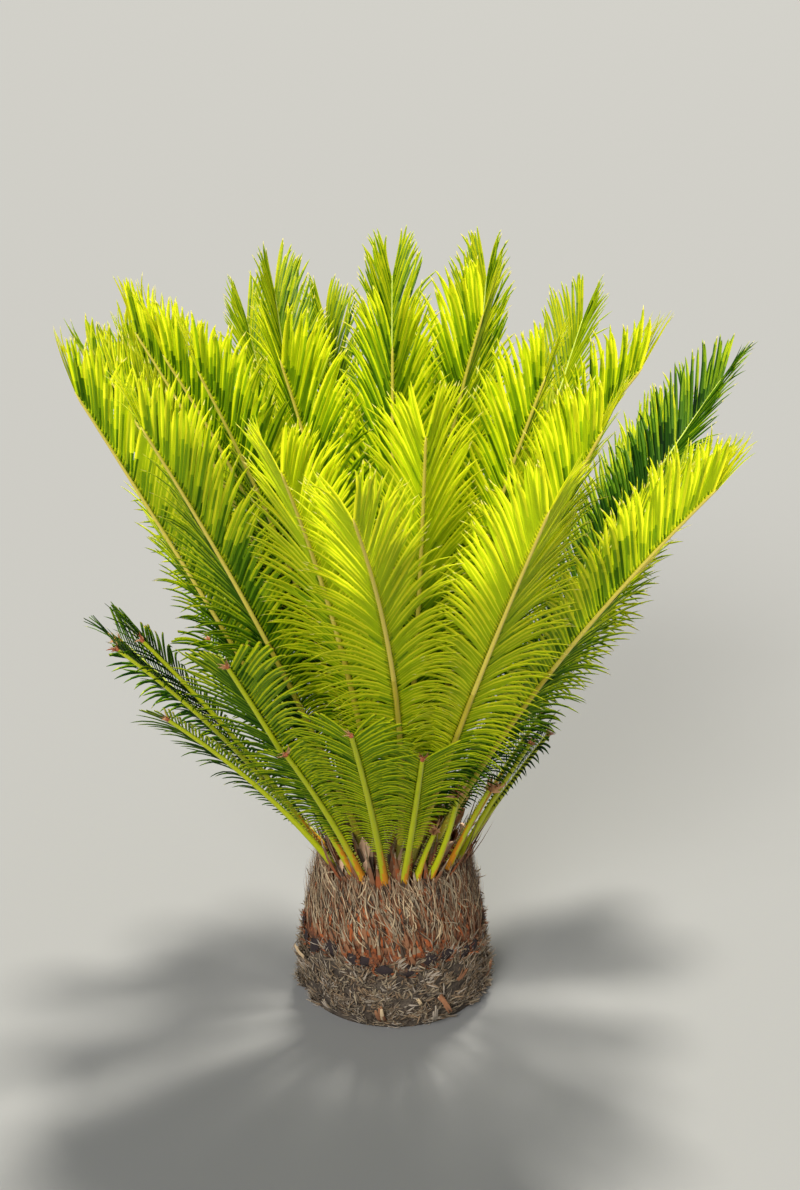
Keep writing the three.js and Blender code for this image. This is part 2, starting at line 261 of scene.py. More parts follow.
# Old fronds, cut back: the same, with the lean and the swing at the cut, the length to the cut, and
# last which side of the blade was sheared off with the rib (0 for neither)
OLD_FRONDS = (
    (196, 30, 46, 0.435, 0.020, -6, -26, -1, 0),
    (204, 29, 39, 0.440, 0.010, -6, -26, -1, 0),
    (212, 33, 48, 0.360, 0, -6, -26, 0.7, 1),
    (236, 31, 35, 0.465, 0.005, -6, -22, 1.4, 1),
    (244, 32, 38, 0.315, -0.010, -6, -22, 1.9, 1),
    (263, 34, 38, 0.395, -0.008, -4, 0, 3, 0),
    (278, 34, 34, 0.320, -0.003, -4, 0, 3.2, 0),
    (289, 26, 26, 0.110, 0.009, 0, 0, 0, 0),
    (301, 32, 28, 0.200, -0.021, 0, 10, 0, 0),
    (320, 24, 26, 0.160, 0.005, 0, 12, 1, 0),
    (340, 24, 30, 0.215, 0, 0, 12, -1, 0),
    # Far side
    (356, 30, 34, 0.215, 0, -4, 0, -1, 1),
    (14, 30, 34, 0.215, 0, -4, 0, -0.4, -1),
    (36, 34, 36, 0.280, 0, -4, 0, 0, 1),
    (62, 36, 46, 0.260, 0, -4, 0, 0, -1),
    (91, 44, 48, 0.380, 0, -4, 0, -0.5, 1),
    (107, 36, 42, 0.300, 0, -4, 0, 0, -1),
    (130, 40, 48, 0.440, 0, -4, 0, -0.5, 1),
    (152, 34, 42, 0.320, 0, -4, 0, 0, 1),
    (176, 38, 46, 0.400, 0, -4, 0, -0.5, -1),
)


def unit(vectors):
    return vectors / np.linalg.norm(vectors, axis=-1, keepdims=True)


def compass(azimuth):
    """Level unit vectors outwards from the trunk's axis and around it."""
    level = np.zeros_like(azimuth)
    out = np.stack([np.cos(azimuth), np.sin(azimuth), level], axis=-1)
    return out, np.stack([-np.sin(azimuth), np.cos(azimuth), level], axis=-1)


def between(stops, x):
    return np.interp(x, [stop[0] for stop in stops], [stop[1] for stop in stops])


def crown_height(radius):
    shoulder_height, shoulder_radius = TRUNK_OUTLINE[-1]
    return CROWN_TOP - (CROWN_TOP - shoulder_height) * np.minimum(radius / shoulder_radius, 1)


# Meshes


class Heap:
    """Many small closed shapes, gathered into one mesh, each face with a tone of its own."""

    def __init__(self):
        self.points = []
        self.faces = []
        self.tones = []
        self.ridges = []
        self.count = 0

    def add(self, points, *groups, ridges=0):
        """Points, groups of faces with their tones, and the ridge that each point lies on, 0 for none."""
        for faces, tones in groups:
            self.faces += (faces.reshape(-1, faces.shape[-1]) + self.count).tolist()
            self.tones.append(np.broadcast_to(tones, faces.shape[:-1]).ravel())
        self.points.append(points.reshape(-1, 3))
        self.ridges.append(np.broadcast_to(ridges, len(self.points[-1])))
        self.count += len(self.points[-1])

    def piece(self, name, slot, materials, replaced=()):
        """Makes the mesh a piece of the palm, with one material for each tone."""
        points = np.concatenate(self.points)
        # Nothing goes below the ground
        points[:, 2] = np.maximum(points[:, 2], 0)
        mesh = bpy.data.meshes.new(name)
        mesh.from_pydata(points.tolist(), [], self.faces)
        for material in materials:
            mesh.materials.append(material)
        tones = np.concatenate(self.tones).astype(np.int32)
        mesh.polygons.foreach_set("material_index", tones)
        mesh.polygons.foreach_set("use_smooth", np.ones(len(tones), bool))
        ends = np.zeros(len(mesh.edges) * 2, np.int32)
        mesh.edges.foreach_get("vertices", ends)
        ridges = np.concatenate(self.ridges)[ends].reshape(-1, 2)
        mesh.edges.foreach_set("use_edge_sharp", (ridges[:, 0] > 0) & (ridges[:, 0] == ridges[:, 1]))
        mesh.update()
        piece = bpy.data.objects.new(name, mesh)
        bpy.context.scene.collection.objects.link(piece)
        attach(piece, "root")
        if replaced:
            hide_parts(*replaced)


def tube_quads(rows, columns):
    """The faces of a tube: rows of points, with so many columns in each."""
    low = (np.arange(rows - 1) * columns)[:, None]
    side = np.arange(columns)[None, :]
    next_side = (side + 1) % columns
    return np.stack([low + side, low + next_side, low + next_side + columns, low + side + columns], axis=-1)


def add_blades(heap, centre, tangent, normal, half_width, tip, tones, thickness, lip, under=0, dim=0):
    """Adds thin blades with a lens-shaped section: N blades by S stations, each closed by a point.

    tones holds S whole numbers for each blade, one for each stretch and one for its point, or one for
    the whole blade. under is added to them on the blade's under side, which is the flatter one. dim is
    the half that turns from the light, -1 or 1, with darker tones up to DIMMED.
    """
    blades, stations = centre.shape[:2]
    across = unit(np.cross(tangent, normal))
    half = half_width[..., None]
    taper = np.minimum(half / (4 * thickness), 1)
    raised = normal * thickness * taper
    edge = normal * lip * taper
    left, right = centre - across * half - edge, centre + across * half - edge
    ring = np.stack([left, centre + raised, right, centre - raised * 0.6], axis=2)
    per_blade = stations * 4 + 1
    points = np.concatenate([ring.reshape(blades, -1, 3), tip[:, None]], axis=1)
    start = (np.arange(blades) * per_blade)[:, None]
    quads = tube_quads(stations, 4)[None] + start[..., None, None]
    foot = start + np.array([0, 3, 2, 1])
    last = start + (stations - 1) * 4
    end = np.broadcast_to(start + per_blade - 1, (blades, 4))
    side = np.arange(4)
    point_faces = np.stack([last + side, last + (side + 1) % 4, end], axis=-1)
    tones = np.broadcast_to(tones, (blades, stations))[..., None]
    dimmed = np.where(tones > DIMMED, tones, (tones * DIM_FACTOR).astype(int))
    tones = np.where(dim * np.array([-1, 1, 1, -1]) > 0, dimmed, tones) + np.array([0, 0, under, under])
    ridges = np.tile(np.append(np.tile([1, 0, 2, 0], stations), 0), blades)
    groups = (quads, tones[:, :-1]), (foot, tones[:, 0, 0]), (point_faces, tones[:, -1])
    heap.add(points, *groups, ridges=ridges)


def add_curved_blades(heap, base, way, length, bend, droop, normal, half_width, outline, tones, cut=None,
                      hook=0, **section):
    """Adds blades that leave base towards way, bulge by bend and sink by droop, as shares of their length.

    outline holds stations and widths. cut, where given, is the share of each blade that is left, and
    hook is how far its tip curls aside.
    """
    stations, widths = outline
    left = np.ones(len(base)) if cut is None else cut
    share = np.asarray(stations)[None, :] * left[:, None]
    share[:, -1] = np.where(left < 1, left * CUT_STATION, share[:, -1])
    width = np.interp(share, np.append(stations, 1), np.append(widths, 0))
    reach = length[:, None, None]
    t = share[..., None]
    fall = UP * np.reshape(droop, (-1, 1))
    fall, curl = np.broadcast_to(fall, base.shape), np.broadcast_to(hook, base.shape)

    def place_at(t, way, bend, fall, curl):
        return way * t + 4 * bend * t * (1 - t) - fall * t**2 + curl * t**4

    shape = [part[:, None] for part in (way, bend, fall, curl)]
    centre = base[:, None] + reach * place_at(t, *shape)
    tangent = unit(shape[0] + 4 * shape[1] * (1 - 2 * t) - 2 * shape[2] * t + 4 * shape[3] * t**3)
    upright = normal[:, None] - tangent * np.sum(normal[:, None] * tangent, axis=-1, keepdims=True)
    tip = base + length[:, None] * place_at(left[:, None], way, bend, fall, curl)
    add_blades(heap, centre, tangent, unit(upright), width * half_width[:, None], tip, tones, **section)


# Fronds


class Frond:
    """One frond: a rib that leans further out along its length, with leaflets along both its sides."""

    def __init__(self, name, row, old):
        azimuth, foot_lean, tip_lean, self.length, self.swing, self.fold, self.roll, self.sun = row[:8]
        self.name = name
        self.old = old
        self.sheared_side = row[8] if old else 0
        self.leafy = self.length - BARE_STALK
        self.has_leaves = not old or self.length > LEAFLESS
        self.out, self.side = compass(np.radians(azimuth))
        self.leans = np.radians([foot_lean, tip_lean])
        # How much painted shade the lower leaflets get, the more the more upright the frond stands
        self.upright = np.clip(1.35 - foot_lean / UPRIGHT, 0, 1)
        self.uncut = BARE_STALK + OLD_LEAFY if old else self.length
        self.foot_radius = OLD_FOOT_RADIUS if old else YOUNG_FOOT_RADIUS + FOOT_SPREAD * foot_lean
        self.lowest = BARE_STALK + rng.uniform(*(OLD_THORNY if old else YOUNG_THORNY))

    def stations(self, along):
        """Centres, and unit vectors along the rib, inwards and across it, at distances along it."""
        share = (along / self.length)[:, None]
        foot, tip = self.leans
        lean = foot + (tip - foot) * share
        middle = (foot + lean) / 2
        chord = along[:, None] * np.sinc((lean - foot) / (2 * np.pi))
        centre = self.out * (self.foot_radius + chord * np.sin(middle))
        centre = centre + UP * (crown_height(self.foot_radius) + chord * np.cos(middle))
        centre = centre + self.side * self.swing * share**2
        tangent = self.out * np.sin(lean) + UP * np.cos(lean)
        tangent = unit(tangent + self.side * 2 * self.swing * share / self.length)
        across = unit(np.cross(tangent, UP * np.sin(lean) - self.out * np.cos(lean)))
        roll = np.radians(self.roll) * (1 - along / self.uncut)[:, None]
        across = across * np.cos(roll) + np.cross(across, tangent) * np.sin(roll)
        return centre, tangent, np.cross(across, tangent), across

    def half_size(self, along):
        """Half the rib's width and half its depth."""
        share = along / self.length
        if self.old:
            share = share * OLD_TAPER
        flare = 1 + FOOT_FLARE * np.exp(-along / FLARE_HEIGHT)
        return [(foot + (tip - foot) * share) / 2 * flare for foot, tip in (RIB_WIDTH, RIB_DEPTH)]


def leaflet_tones(frond, side, share, reach, left):
    """Tones for a row of leaflets, from shaded at the foot of the blade to sunlit at its tip.

    Each leaflet too runs from painted shade at its foot to painted light at its tip. The row that hangs
    is in the shade of the other, upright fronds are shaded low down by those around them, and other
    fronds shade patches. All of this is painted light and shade.
    """
    count = len(share)
    patch = np.sin(2 * np.pi * (PATCHES * reach + rng.random()))
    shaded = frond.upright * np.clip(1.35 - 2 * reach, 0, 1)
    if not frond.old:
        shaded = np.clip(np.maximum(shaded, 1.2 - reach / SHADED_SHARE), 0, 1)
    row = frond.sun + 0.5 * patch + frond.roll * side / ROLL_PER_TONE * (1 - reach)
    row = row + rng.normal(0, 0.5, count) - SHADE * shaded
    # Painted light along each leaflet: shaded at its foot, sunlit towards its tip
    painted_light_along_leaflet = np.interp(LEAFLET[0], (0, 0.25, 0.6, 1), (-1.0, -0.3, 0.4, 1.0))
    painted_light_along_leaflet = painted_light_along_leaflet + rng.normal(0, 0.35, (count, len(LEAFLET[0])))
    foot, rise = OLD_PAINTED_LIGHT if frond.old else YOUNG_PAINTED_LIGHT
    sunniest = OLD_SUNNIEST if frond.old else YOUNG_SUNNIEST
    tones = np.clip(np.round(foot + (row + rise * share)[:, None] + painted_light_along_leaflet), 0, sunniest)
    if frond.old:
        tones[left < 1, -1] = OLD_CUT
        tones[:, -1] = np.where((left >= 1) & (rng.random(count) < 0.25), OLD_TIP, tones[:, -1])
    else:
        tones[:, -1] = np.where((share > 0.4) & (rng.random(count) < 0.5), YOUNG_TIP, tones[:, -1])
    return tones.astype(int)


def add_leaflets(heap, frond, side):
    """Adds the leaflets on one side of a frond, by the rule that the solids' teeth follow."""
    lowest = frond.lowest + (0.25 + 0.25 * side) * LEAFLET_PITCH
    along = np.arange(lowest, frond.length - 0.003, LEAFLET_PITCH)
    along = along + rng.normal(0, 0.0003, len(along))
    count = len(along)
    centre, tangent, inward, across = frond.stations(along)
    half_width, half_depth = frond.half_size(along)
    share = (along - BARE_STALK) / frond.leafy
    reach = (along - BARE_STALK) / (OLD_LEAFY if frond.old else frond.leafy)
    turn = np.radians(between(LEAF_TURN, reach) + rng.normal(0, 0.9, count))
    keel = np.radians(between(LEAF_KEEL, reach) + frond.fold + rng.normal(0, 1.2, count))
    size, limp = (OLD_SIZE, OLD_DROOP) if frond.old else (1, 1)
    length = LEAF_LENGTH * size * between(LEAF_SIZE, reach) * rng.uniform(0.92, 1.05, count)
    length = length * np.where(rng.random(count) < STUNTED, rng.uniform(*STUNTED_SIZE, count), 1)
    length = length * np.minimum(0.3 + (along - lowest) / FIRST_LEAFLETS, 1)
    sideways = across * side
    way = tangent * np.cos(turn)[:, None] + sideways * (np.sin(turn) * np.cos(keel))[:, None]
    way = way + inward * (np.sin(turn) * np.sin(keel))[:, None]
    normal = inward * np.cos(keel)[:, None] - sideways * np.sin(keel)[:, None]
    ahead = unit(tangent - way * np.sum(tangent * way, axis=1, keepdims=True))
    arch = 0.06 - 0.06 * reach + rng.normal(0, 0.012, count)
    bend = (ahead * 0.75 + normal * 0.66) * arch[:, None]
    droop = np.maximum(limp * between(LEAF_DROOP, reach) + rng.normal(0, 0.025, count), 0)
    hook = normal * rng.normal(-0.03, 0.05, (count, 1)) + ahead * rng.normal(-0.01, 0.05, (count, 1))
    hook[:, 2] -= 0.16 * limp * (1 - reach) ** 2
    twist = np.radians((9 + 12 * reach) * side + rng.normal(0, 3, count))[:, None]
    normal = normal * np.cos(twist) + np.cross(way, normal) * np.sin(twist)
    left = None
    if frond.old:
        room = frond.length - along + (SHEARED_OVERHANG if side == frond.sheared_side else CUT_OVERHANG)
        left = np.minimum(room / (length * np.cos(turn)) * rng.uniform(0.96, 1.02, count), 1)
    tones = leaflet_tones(frond, side, share, reach, left)
    base = centre + sideways * (half_width * 0.8)[:, None] + inward * (half_depth * 0.5)[:, None]
    leaflet_half = LEAFLET_HALF_WIDTH * rng.uniform(0.9, 1.1, count) * between(LEAF_WIDTH, reach)
    add_curved_blades(
        heap, base, way, length, bend, droop, normal, leaflet_half, LEAFLET, tones, left, hook,
        thickness=0.0007, lip=0.0005, under=LEAF_TONES, dim=side,
    )


def rib_tones(frond, along, angle):
    """Tones for a rib, stretch by stretch and side by side."""
    inner = np.broadcast_to(np.sin(angle)[None, :] > 0.5, (len(along) - 1, RIB_SIDES))
    height = np.broadcast_to(along[:-1][:, None], inner.shape)
    if frond.old:
        flush = 1.2 - height / FLUSH_TOP + 0.65 * np.cos(angle - rng.choice([0, np.pi]))
        flush = flush + rng.normal(0, 0.12, inner.shape)
        tones = np.where(inner, RIB_PALE, STALK_GREEN)
        tones = np.where(flush > 0.7, STALK_LIME, tones)
        tones = np.where(flush > 1.0, STALK_ORANGE, tones)
        tones = np.where(height > frond.length - 0.010, STALK_ORANGE, tones)
        tones[-1] = CUT_SCAR
    else:
        outer = np.where(height < 0.55 * frond.length, RIB_OCHRE, RIB_GOLDEN)
        tones = np.where(inner, RIB_PALE, outer)
        tones = np.where(height < OLIVE_TOP, STALK_OLIVE, tones)
    return np.where(height + rng.normal(0, 0.003, inner.shape) < FELT_TOP, RIB_FELT, tones)


def add_rib(heap, frond):
    """Adds a rib: rounded on its outer face, flatter on its inner one, swollen at the foot."""
    steps = max(int(frond.length / STEM_STEP), 4)
    end = 0.004 if frond.old else 0.012
    stem = np.linspace(STEM_START, frond.length - end, steps)
    along = np.concatenate([FOOT_STATIONS, stem, [frond.length]])
    centre, _, inward, across = frond.stations(along)
    half_width, half_depth = frond.half_size(along)
    if not frond.old:
        half_width[-1] = half_depth[-1] = 0.0004
    angle = (np.arange(RIB_SIDES) + 0.5) / RIB_SIDES * 2 * np.pi
    depth = np.where(np.sin(angle) > 0, 0.7, 1) * np.sin(angle)
    ring = centre[:, None] + across[:, None] * (half_width[:, None] * np.cos(angle))[..., None]
    ring = ring + inward[:, None] * (half_depth[:, None] * depth)[..., None]
    rows = len(along)
    quads = tube_quads(rows, RIB_SIDES)[..., [0, 3, 2, 1]]
    caps = np.stack([np.arange(RIB_SIDES), (rows - 1) * RIB_SIDES + np.arange(RIB_SIDES)[::-1]])
    cap_tones = np.array([[RIB_FELT], [CUT_SCAR if frond.old else RIB_GOLDEN]])
    heap.add(ring, (quads, rib_tones(frond, along, angle)), (caps[:, None], cap_tones))


def add_withered_ends(heap, frond):
    """Adds the withered curls round the cut of an old frond: more of them where no leaflets are left."""
    count, longest = CURLS if frond.has_leaves else BARE_CURLS
    centre, tangent, inward, across = frond.stations(np.full(count, frond.length - 0.002))
    half_width, _ = frond.half_size(frond.length)
    angle = rng.uniform(0, 2 * np.pi, (count, 1))
    aside = across * np.cos(angle) + inward * np.sin(angle)
    way = unit(tangent + aside * rng.uniform(0.2, 1.1, (count, 1)))
    tones = rng.choice([CUT_SCAR, WITHERED, WITHERED, WITHERED], (count, 1))
    add_curved_blades(
        heap, centre + aside * half_width * 0.6, way, rng.uniform(0.4, 1, count) * longest,
        aside * rng.uniform(-0.3, 0.3, (count, 1)), rng.uniform(0, 0.4, count), np.cross(way, aside),
        rng.uniform(0.05, 0.13, count) * longest, STRAP, tones, thickness=0.0006, lip=0.0006,
    )


def add_thorns(heap, frond):
    """Adds the short thorns that the leaflets shrink to along the bare stalk."""
    top = (frond.lowest if frond.has_leaves else frond.length) - 0.004
    for side in (1, -1):
        along = np.arange(0.022, top, 0.0048)
        count = len(along)
        centre, tangent, inward, across = frond.stations(along + rng.normal(0, 0.001, count))
        half_width, half_depth = frond.half_size(along)
        way = unit(across * side + tangent * 0.75 + inward * rng.normal(0.1, 0.15, (count, 1)))
        base = centre + across * side * (half_width * 0.85)[:, None] + inward * (half_depth * 0.4)[:, None]
        add_curved_blades(
            heap, base, way, rng.uniform(0.004, 0.007, count), np.zeros((count, 3)), 0,
            np.cross(way, tangent), np.full(count, 0.0010), THORN, RIB_PALE if frond.old else STALK_OLIVE,
            thickness=0.0007, lip=0,
        )


# Trunk


def trunk_frame(azimuth, height):
    """Places on the trunk, with unit vectors outwards, up the bark and around it."""
    step = 0.004
    slope = (between(TRUNK_OUTLINE, height + step) - between(TRUNK_OUTLINE, height - step)) / (2 * step)
    out, around = compass(azimuth)
    up = unit(out * slope[..., None] + UP)
    place = out * between(TRUNK_OUTLINE, height)[..., None] + UP * height[..., None]
    return place, np.cross(around, up), up, around


def growing(up, around, out, tilt, lift):
    """Directions up the bark, tilted around the trunk and lifted off it."""
    tilt = tilt[:, None]
    return unit(up * np.cos(tilt) + around * np.sin(tilt) + out * lift[:, None])


class Lumps:
    """A smooth, lumpy field round the trunk, from about -1 to 1: a sum of waves."""

    def __init__(self, waves, scale):
        self.turns = rng.integers(2, scale, waves)
        self.climbs = rng.uniform(-1, 1, waves) * scale * 9
        self.starts = rng.uniform(0, 2 * np.pi, waves)

    def at(self, azimuth, height):
        phase = azimuth[..., None] * self.turns + height[..., None] * self.climbs + self.starts
        return np.sin(phase).sum(axis=-1) / np.sqrt(len(self.turns))


COARSE_LUMPS = Lumps(14, 22)
FINE_LUMPS = Lumps(16, 60)


def bark_relief(azimuth, height):
    """How far the bark stands out of the trunk's outline: more in the weathered part, none at the cut."""
    coarse = np.interp(height, (0, 0.012, BARK_TOP, SHAG_FOOT), (0, 0.0036, 0.0030, 0.0012))
    fine = np.interp(height, (0, 0.012), (0, 0.0012))
    return COARSE_LUMPS.at(azimuth, height) * coarse + FINE_LUMPS.at(azimuth, height) * fine


def border_wave(azimuth):
    """How much higher or lower than elsewhere the border between bark and shag is."""
    return BORDER_WAVE * np.sin(azimuth * BORDER_WAVES)


def add_trunk(heap):
    """Adds the barrel with its bark's relief, over the flat cut and under the crown's cone."""
    columns, rows = BARREL_COLUMNS, BARREL_ROWS
    azimuth = np.arange(columns) / columns * 2 * np.pi
    azimuth, height = np.meshgrid(azimuth, np.linspace(0, TRUNK_OUTLINE[-1][0], rows))
    place, out, _, _ = trunk_frame(azimuth, height)
    flat_out = out * np.array([1, 1, 0])
    place = place + flat_out * (bark_relief(azimuth, height) - BARREL_INSET)[..., None]
    middles = np.array([[0, 0, 0], [0, 0, CROWN_TOP - 0.002]])
    points = np.concatenate([place.reshape(-1, 3), middles])
    foot, top = np.full(columns, rows * columns), np.full(columns, rows * columns + 1)
    ring = np.arange(columns)
    last = (rows - 1) * columns
    ends = np.concatenate([
        np.stack([foot, (ring + 1) % columns, ring], axis=-1),
        np.stack([top, last + ring, last + (ring + 1) % columns], axis=-1),
    ])
    heap.add(points, (tube_quads(rows, columns), 0), (ends, 0))


def add_leaf_bases(heap):
    """Adds the spiral rows of dry leaf bases, rusty at the foot and frayed to straw at the tip."""
    columns = SHAG_COLUMNS
    for row, height in enumerate(SHAG_ROWS):
        spots = (np.arange(columns) + 0.5 * (row % 2)) / columns * 2 * np.pi + rng.normal(0, 0.018, columns)
        heights = height + rng.normal(0, 0.003, columns) + border_wave(spots)
        place, out, up, around = trunk_frame(spots, heights)
        tilt = rng.normal(-0.2, 0.2, columns)
        rim = np.clip((heights - RIM_FOOT) / RIM_HEIGHT, 0, 1)
        lift = rng.uniform(0.04, 0.20, columns) + 0.55 * rim * rng.random(columns)
        way = growing(up, around, out, tilt, lift)
        length = rng.uniform(0.026, 0.050, columns)
        bend = out * rng.uniform(-0.02, 0.07, (columns, 1)) + around * rng.normal(0, 0.04, (columns, 1))
        tones = np.tile([RUST, BROWN, GREY, STRAW], (columns, 1)) + rng.integers(-1, 1, (columns, 4))
        tones = np.where(rng.random((columns, 1)) < 0.15, DARK, tones)
        tones[:, 0] = np.where(rng.random(columns) < 0.35, FELT, RUST)
        fall = 0.5 * rim * rng.random(columns)
        # The two lowest rows are thinned out, so that they end raggedly
        kept = rng.random(columns) < (0.45 if row < 2 else 1)
        half_width = rng.uniform(0.0014, 0.0034, columns)
        parts = (place - out * 0.0035, way, length, bend, fall, out, half_width)
        add_curved_blades(
            heap, *(part[kept] for part in parts), STRAP, tones[kept], thickness=0.0009, lip=0.0004,
        )


def add_scars(heap):
    """Adds the scalloped row of dark scars that fallen leaves left, each in a rim of rusty fuzz."""
    count = SCARS_AROUND
    spots = (np.arange(count) + rng.uniform(-0.2, 0.2, count)) / count * 2 * np.pi
    heights = BARK_TOP - 0.002 + border_wave(spots) + rng.normal(0, 0.003, count)
    place, out, up, around = trunk_frame(spots, heights)
    tilt = rng.normal(0, 0.35, (count, 1))
    way = unit(up * np.cos(tilt) + around * np.sin(tilt))
    length = rng.uniform(0.015, 0.024, count)
    half_width = rng.uniform(0.0070, 0.0135, count)
    add_curved_blades(
        heap, place, way, length, out * 0.04, 0, out, half_width, RHOMB, SCAR, thickness=0.0022, lip=0.0004,
    )
    shape = (count, HAIRS_ROUND_SCAR, 1)
    angle = rng.uniform(0, 2 * np.pi, shape)
    middle = (place + way * length[:, None] * 0.48)[:, None]
    aside = np.cross(way, out)[:, None] * np.cos(angle)
    rim = aside * half_width[:, None, None] + way[:, None] * np.sin(angle) * length[:, None, None] * 0.5
    growth = unit(rim) * 0.6 + up[:, None] * 0.7 + out[:, None] * rng.uniform(0.2, 0.7, shape)
    hairs = count * HAIRS_ROUND_SCAR
    add_curved_blades(
        heap, (middle + rim).reshape(-1, 3), unit(growth).reshape(-1, 3), rng.uniform(0.004, 0.009, hairs),
        rng.normal(0, 0.1, (hairs, 3)), 0, np.repeat(out, HAIRS_ROUND_SCAR, axis=0),
        rng.uniform(0.0005, 0.0011, hairs), STRAP, rng.integers(FELT, RUST + 1, (hairs, 1)),
        thickness=0.0006, lip=0,
    )


def add_felt(heap):
    """Adds the rusty felt that shows here and there between the leaf bases."""
    count = FELT_PATCHES
    spots = rng.uniform(0, 2 * np.pi, count)
    place, out, up, around = trunk_frame(spots, rng.uniform(SHAG_FOOT - 0.004, 0.150, count))
    way = unit(up + around * rng.normal(-0.2, 0.2, (count, 1)) + out * 0.08)
    add_curved_blades(
        heap, place + out * 0.0005, way, rng.uniform(0.016, 0.028, count), out * 0.05, 0, out,
        rng.uniform(0.0014, 0.0030, count), LENS, rng.integers(FELT, RUST + 1, (count, 1)),
        thickness=0.0016, lip=0.0004,
    )


def add_stubs(heap):
    """Adds the short stubs of leaves that broke off long ago, each a few splinters side by side."""
    azimuth, height, turn, length, half_width, tone = np.repeat(np.array(STUBS), SPLINTERS_IN_STUB, axis=0).T
    count = len(length)
    place, out, up, around = trunk_frame(np.radians(azimuth), height)
    turn = np.radians(turn + rng.normal(0, 5, count))[:, None]
    way = unit(up * np.cos(turn) - around * np.sin(turn) + out * rng.uniform(0.1, 0.35, (count, 1)))
    offset = np.tile(np.linspace(-0.7, 0.7, SPLINTERS_IN_STUB), len(STUBS)) * half_width
    place = place + np.cross(way, out) * offset[:, None] + out * 0.004
    tones = np.where(rng.random((count, 1)) < 0.9, tone[:, None], STRAW).astype(int)
    tones = np.repeat(tones, 4, axis=1)
    tones[:, -1] = STRAW
    add_curved_blades(
        heap, place, way, length * rng.uniform(0.9, 1.2, count), out * 0.1, 0, out,
        half_width * rng.uniform(0.3, 0.5, count), SPLINTER, tones, np.full(count, 0.9),
        thickness=0.0012, lip=0.0002,
    )


def add_fibres(heap):
    """Adds thin straws, criss-crossed over the leaf bases."""
    count = FIBRES
    spots = rng.uniform(0, 2 * np.pi, count)
    heights = rng.uniform(SHAG_FOOT, 0.186, count)
    place, out, up, around = trunk_frame(spots, heights)
    tilt = rng.normal(-0.25, 0.32, count)
    way = growing(up, around, out, tilt, rng.uniform(0, 0.22, count))
    bend = out * rng.uniform(0.02, 0.12, (count, 1)) + around * rng.normal(0, 0.12, (count, 1))
    tones = rng.integers(RUST, DARK + 1, (count, 1))
    add_curved_blades(
        heap, place + out * 0.001, way, rng.uniform(0.022, 0.055, count), bend, 0, out,
        rng.uniform(0.0005, 0.0011, count), STRAP, tones, thickness=0.0005, lip=0,
    )


def add_bark_tufts(heap):
    """Adds the matted tufts of the weathered bark, light on its lumps and dark in its hollows."""

    def for_each_flake(values):
        return np.repeat(values, FLAKES_IN_TUFT)

    spots = for_each_flake(rng.uniform(0, 2 * np.pi, BARK_TUFTS))
    border = BARK_TOP + 0.007 + border_wave(spots) - 0.004 * np.cos(spots * SCARS_AROUND)
    heights = for_each_flake(rng.uniform(0, 1, BARK_TUFTS)) * border
    common = for_each_flake(rng.normal(-0.1, 0.8, BARK_TUFTS))
    shade = for_each_flake(rng.normal(0, 0.3, BARK_TUFTS))
    count = len(spots)
    spots = spots + rng.normal(0, 0.045, count)
    heights = np.clip(heights + rng.normal(0, 0.004, count), 0.001, None)
    place, out, up, around = trunk_frame(spots, heights)
    relief = COARSE_LUMPS.at(spots, heights)
    tilt = common + rng.normal(0, 0.45, count)
    lift = rng.uniform(0.0, 0.8, count) + 0.4 * np.exp(-heights / 0.008)
    way = growing(up, around, out, tilt, lift)
    way[:, 2] = np.where(heights < 0.02, np.abs(way[:, 2]), way[:, 2])
    bend = out * rng.uniform(-0.05, 0.12, (count, 1)) + around * rng.normal(0, 0.08, (count, 1))
    greys = np.array([DARK, EARTH, EARTH, BROWN, GREY, ASH, ASH])
    tones = greys[np.clip(np.round(3 + relief + shade + rng.normal(0, 1.5, count)), 0, 6).astype(int)]
    base = place + out * (bark_relief(spots, heights) - 0.004)[:, None]
    add_curved_blades(
        heap, base, way, rng.uniform(0.006, 0.022, count), bend, 0, out,
        rng.uniform(0.0005, 0.0015, count), FLAKE, tones[:, None], thickness=0.0009, lip=0.0002,
    )


def add_crown_scales(heap):
    """Adds the rusty scales that stand between the fronds' feet."""
    count = CROWN_SCALES
    out, around = compass(rng.uniform(0, 2 * np.pi, count))
    radius = 0.096 * np.sqrt(rng.uniform(0.03, 1, count))
    place = out * radius[:, None] + UP * (crown_height(radius) - 0.004)[:, None]
    lean = radius * 4.5 + rng.normal(0, 0.1, count)
    way = unit(UP + out * lean[:, None] + around * rng.normal(0, 0.14, (count, 1)))
    bend = out * rng.uniform(-0.08, 0.06, (count, 1))
    tones = np.array(SCALE_TONES)[rng.integers(0, len(SCALE_TONES), count)]
    add_curved_blades(
        heap, place, way, rng.uniform(0.055, 0.112, count), bend, 0, out,
        rng.uniform(0.0020, 0.0050, count), STRAP, tones, thickness=0.0009, lip=0.0006,
    )


def add_scraps(heap):
    """Adds pale, papery scraps of dead leaf, caught between the stalks."""
    count = SCRAPS
    out, around = compass(np.arange(count) / count * 2 * np.pi + rng.uniform(0, 0.3, count))
    radius = rng.uniform(0.080, 0.096, count)
    place = out * radius[:, None] + UP * (crown_height(radius) + rng.uniform(0, 0.020, count))[:, None]
    way = unit(UP + out * rng.uniform(-0.1, 0.6, (count, 1)) + around * rng.normal(0, 0.5, (count, 1)))
    bend = out * rng.uniform(-0.1, 0.2, (count, 1)) + around * rng.normal(0, 0.12, (count, 1))
    add_curved_blades(
        heap, place, way, rng.uniform(0.034, 0.060, count), bend, rng.uniform(0, 0.3, count),
        unit(out + around * rng.normal(0, 0.6, (count, 1))), rng.uniform(0.0050, 0.0090, count), LENS,
        SCRAP, thickness=0.0006, lip=0.0012,
    )


# Materials


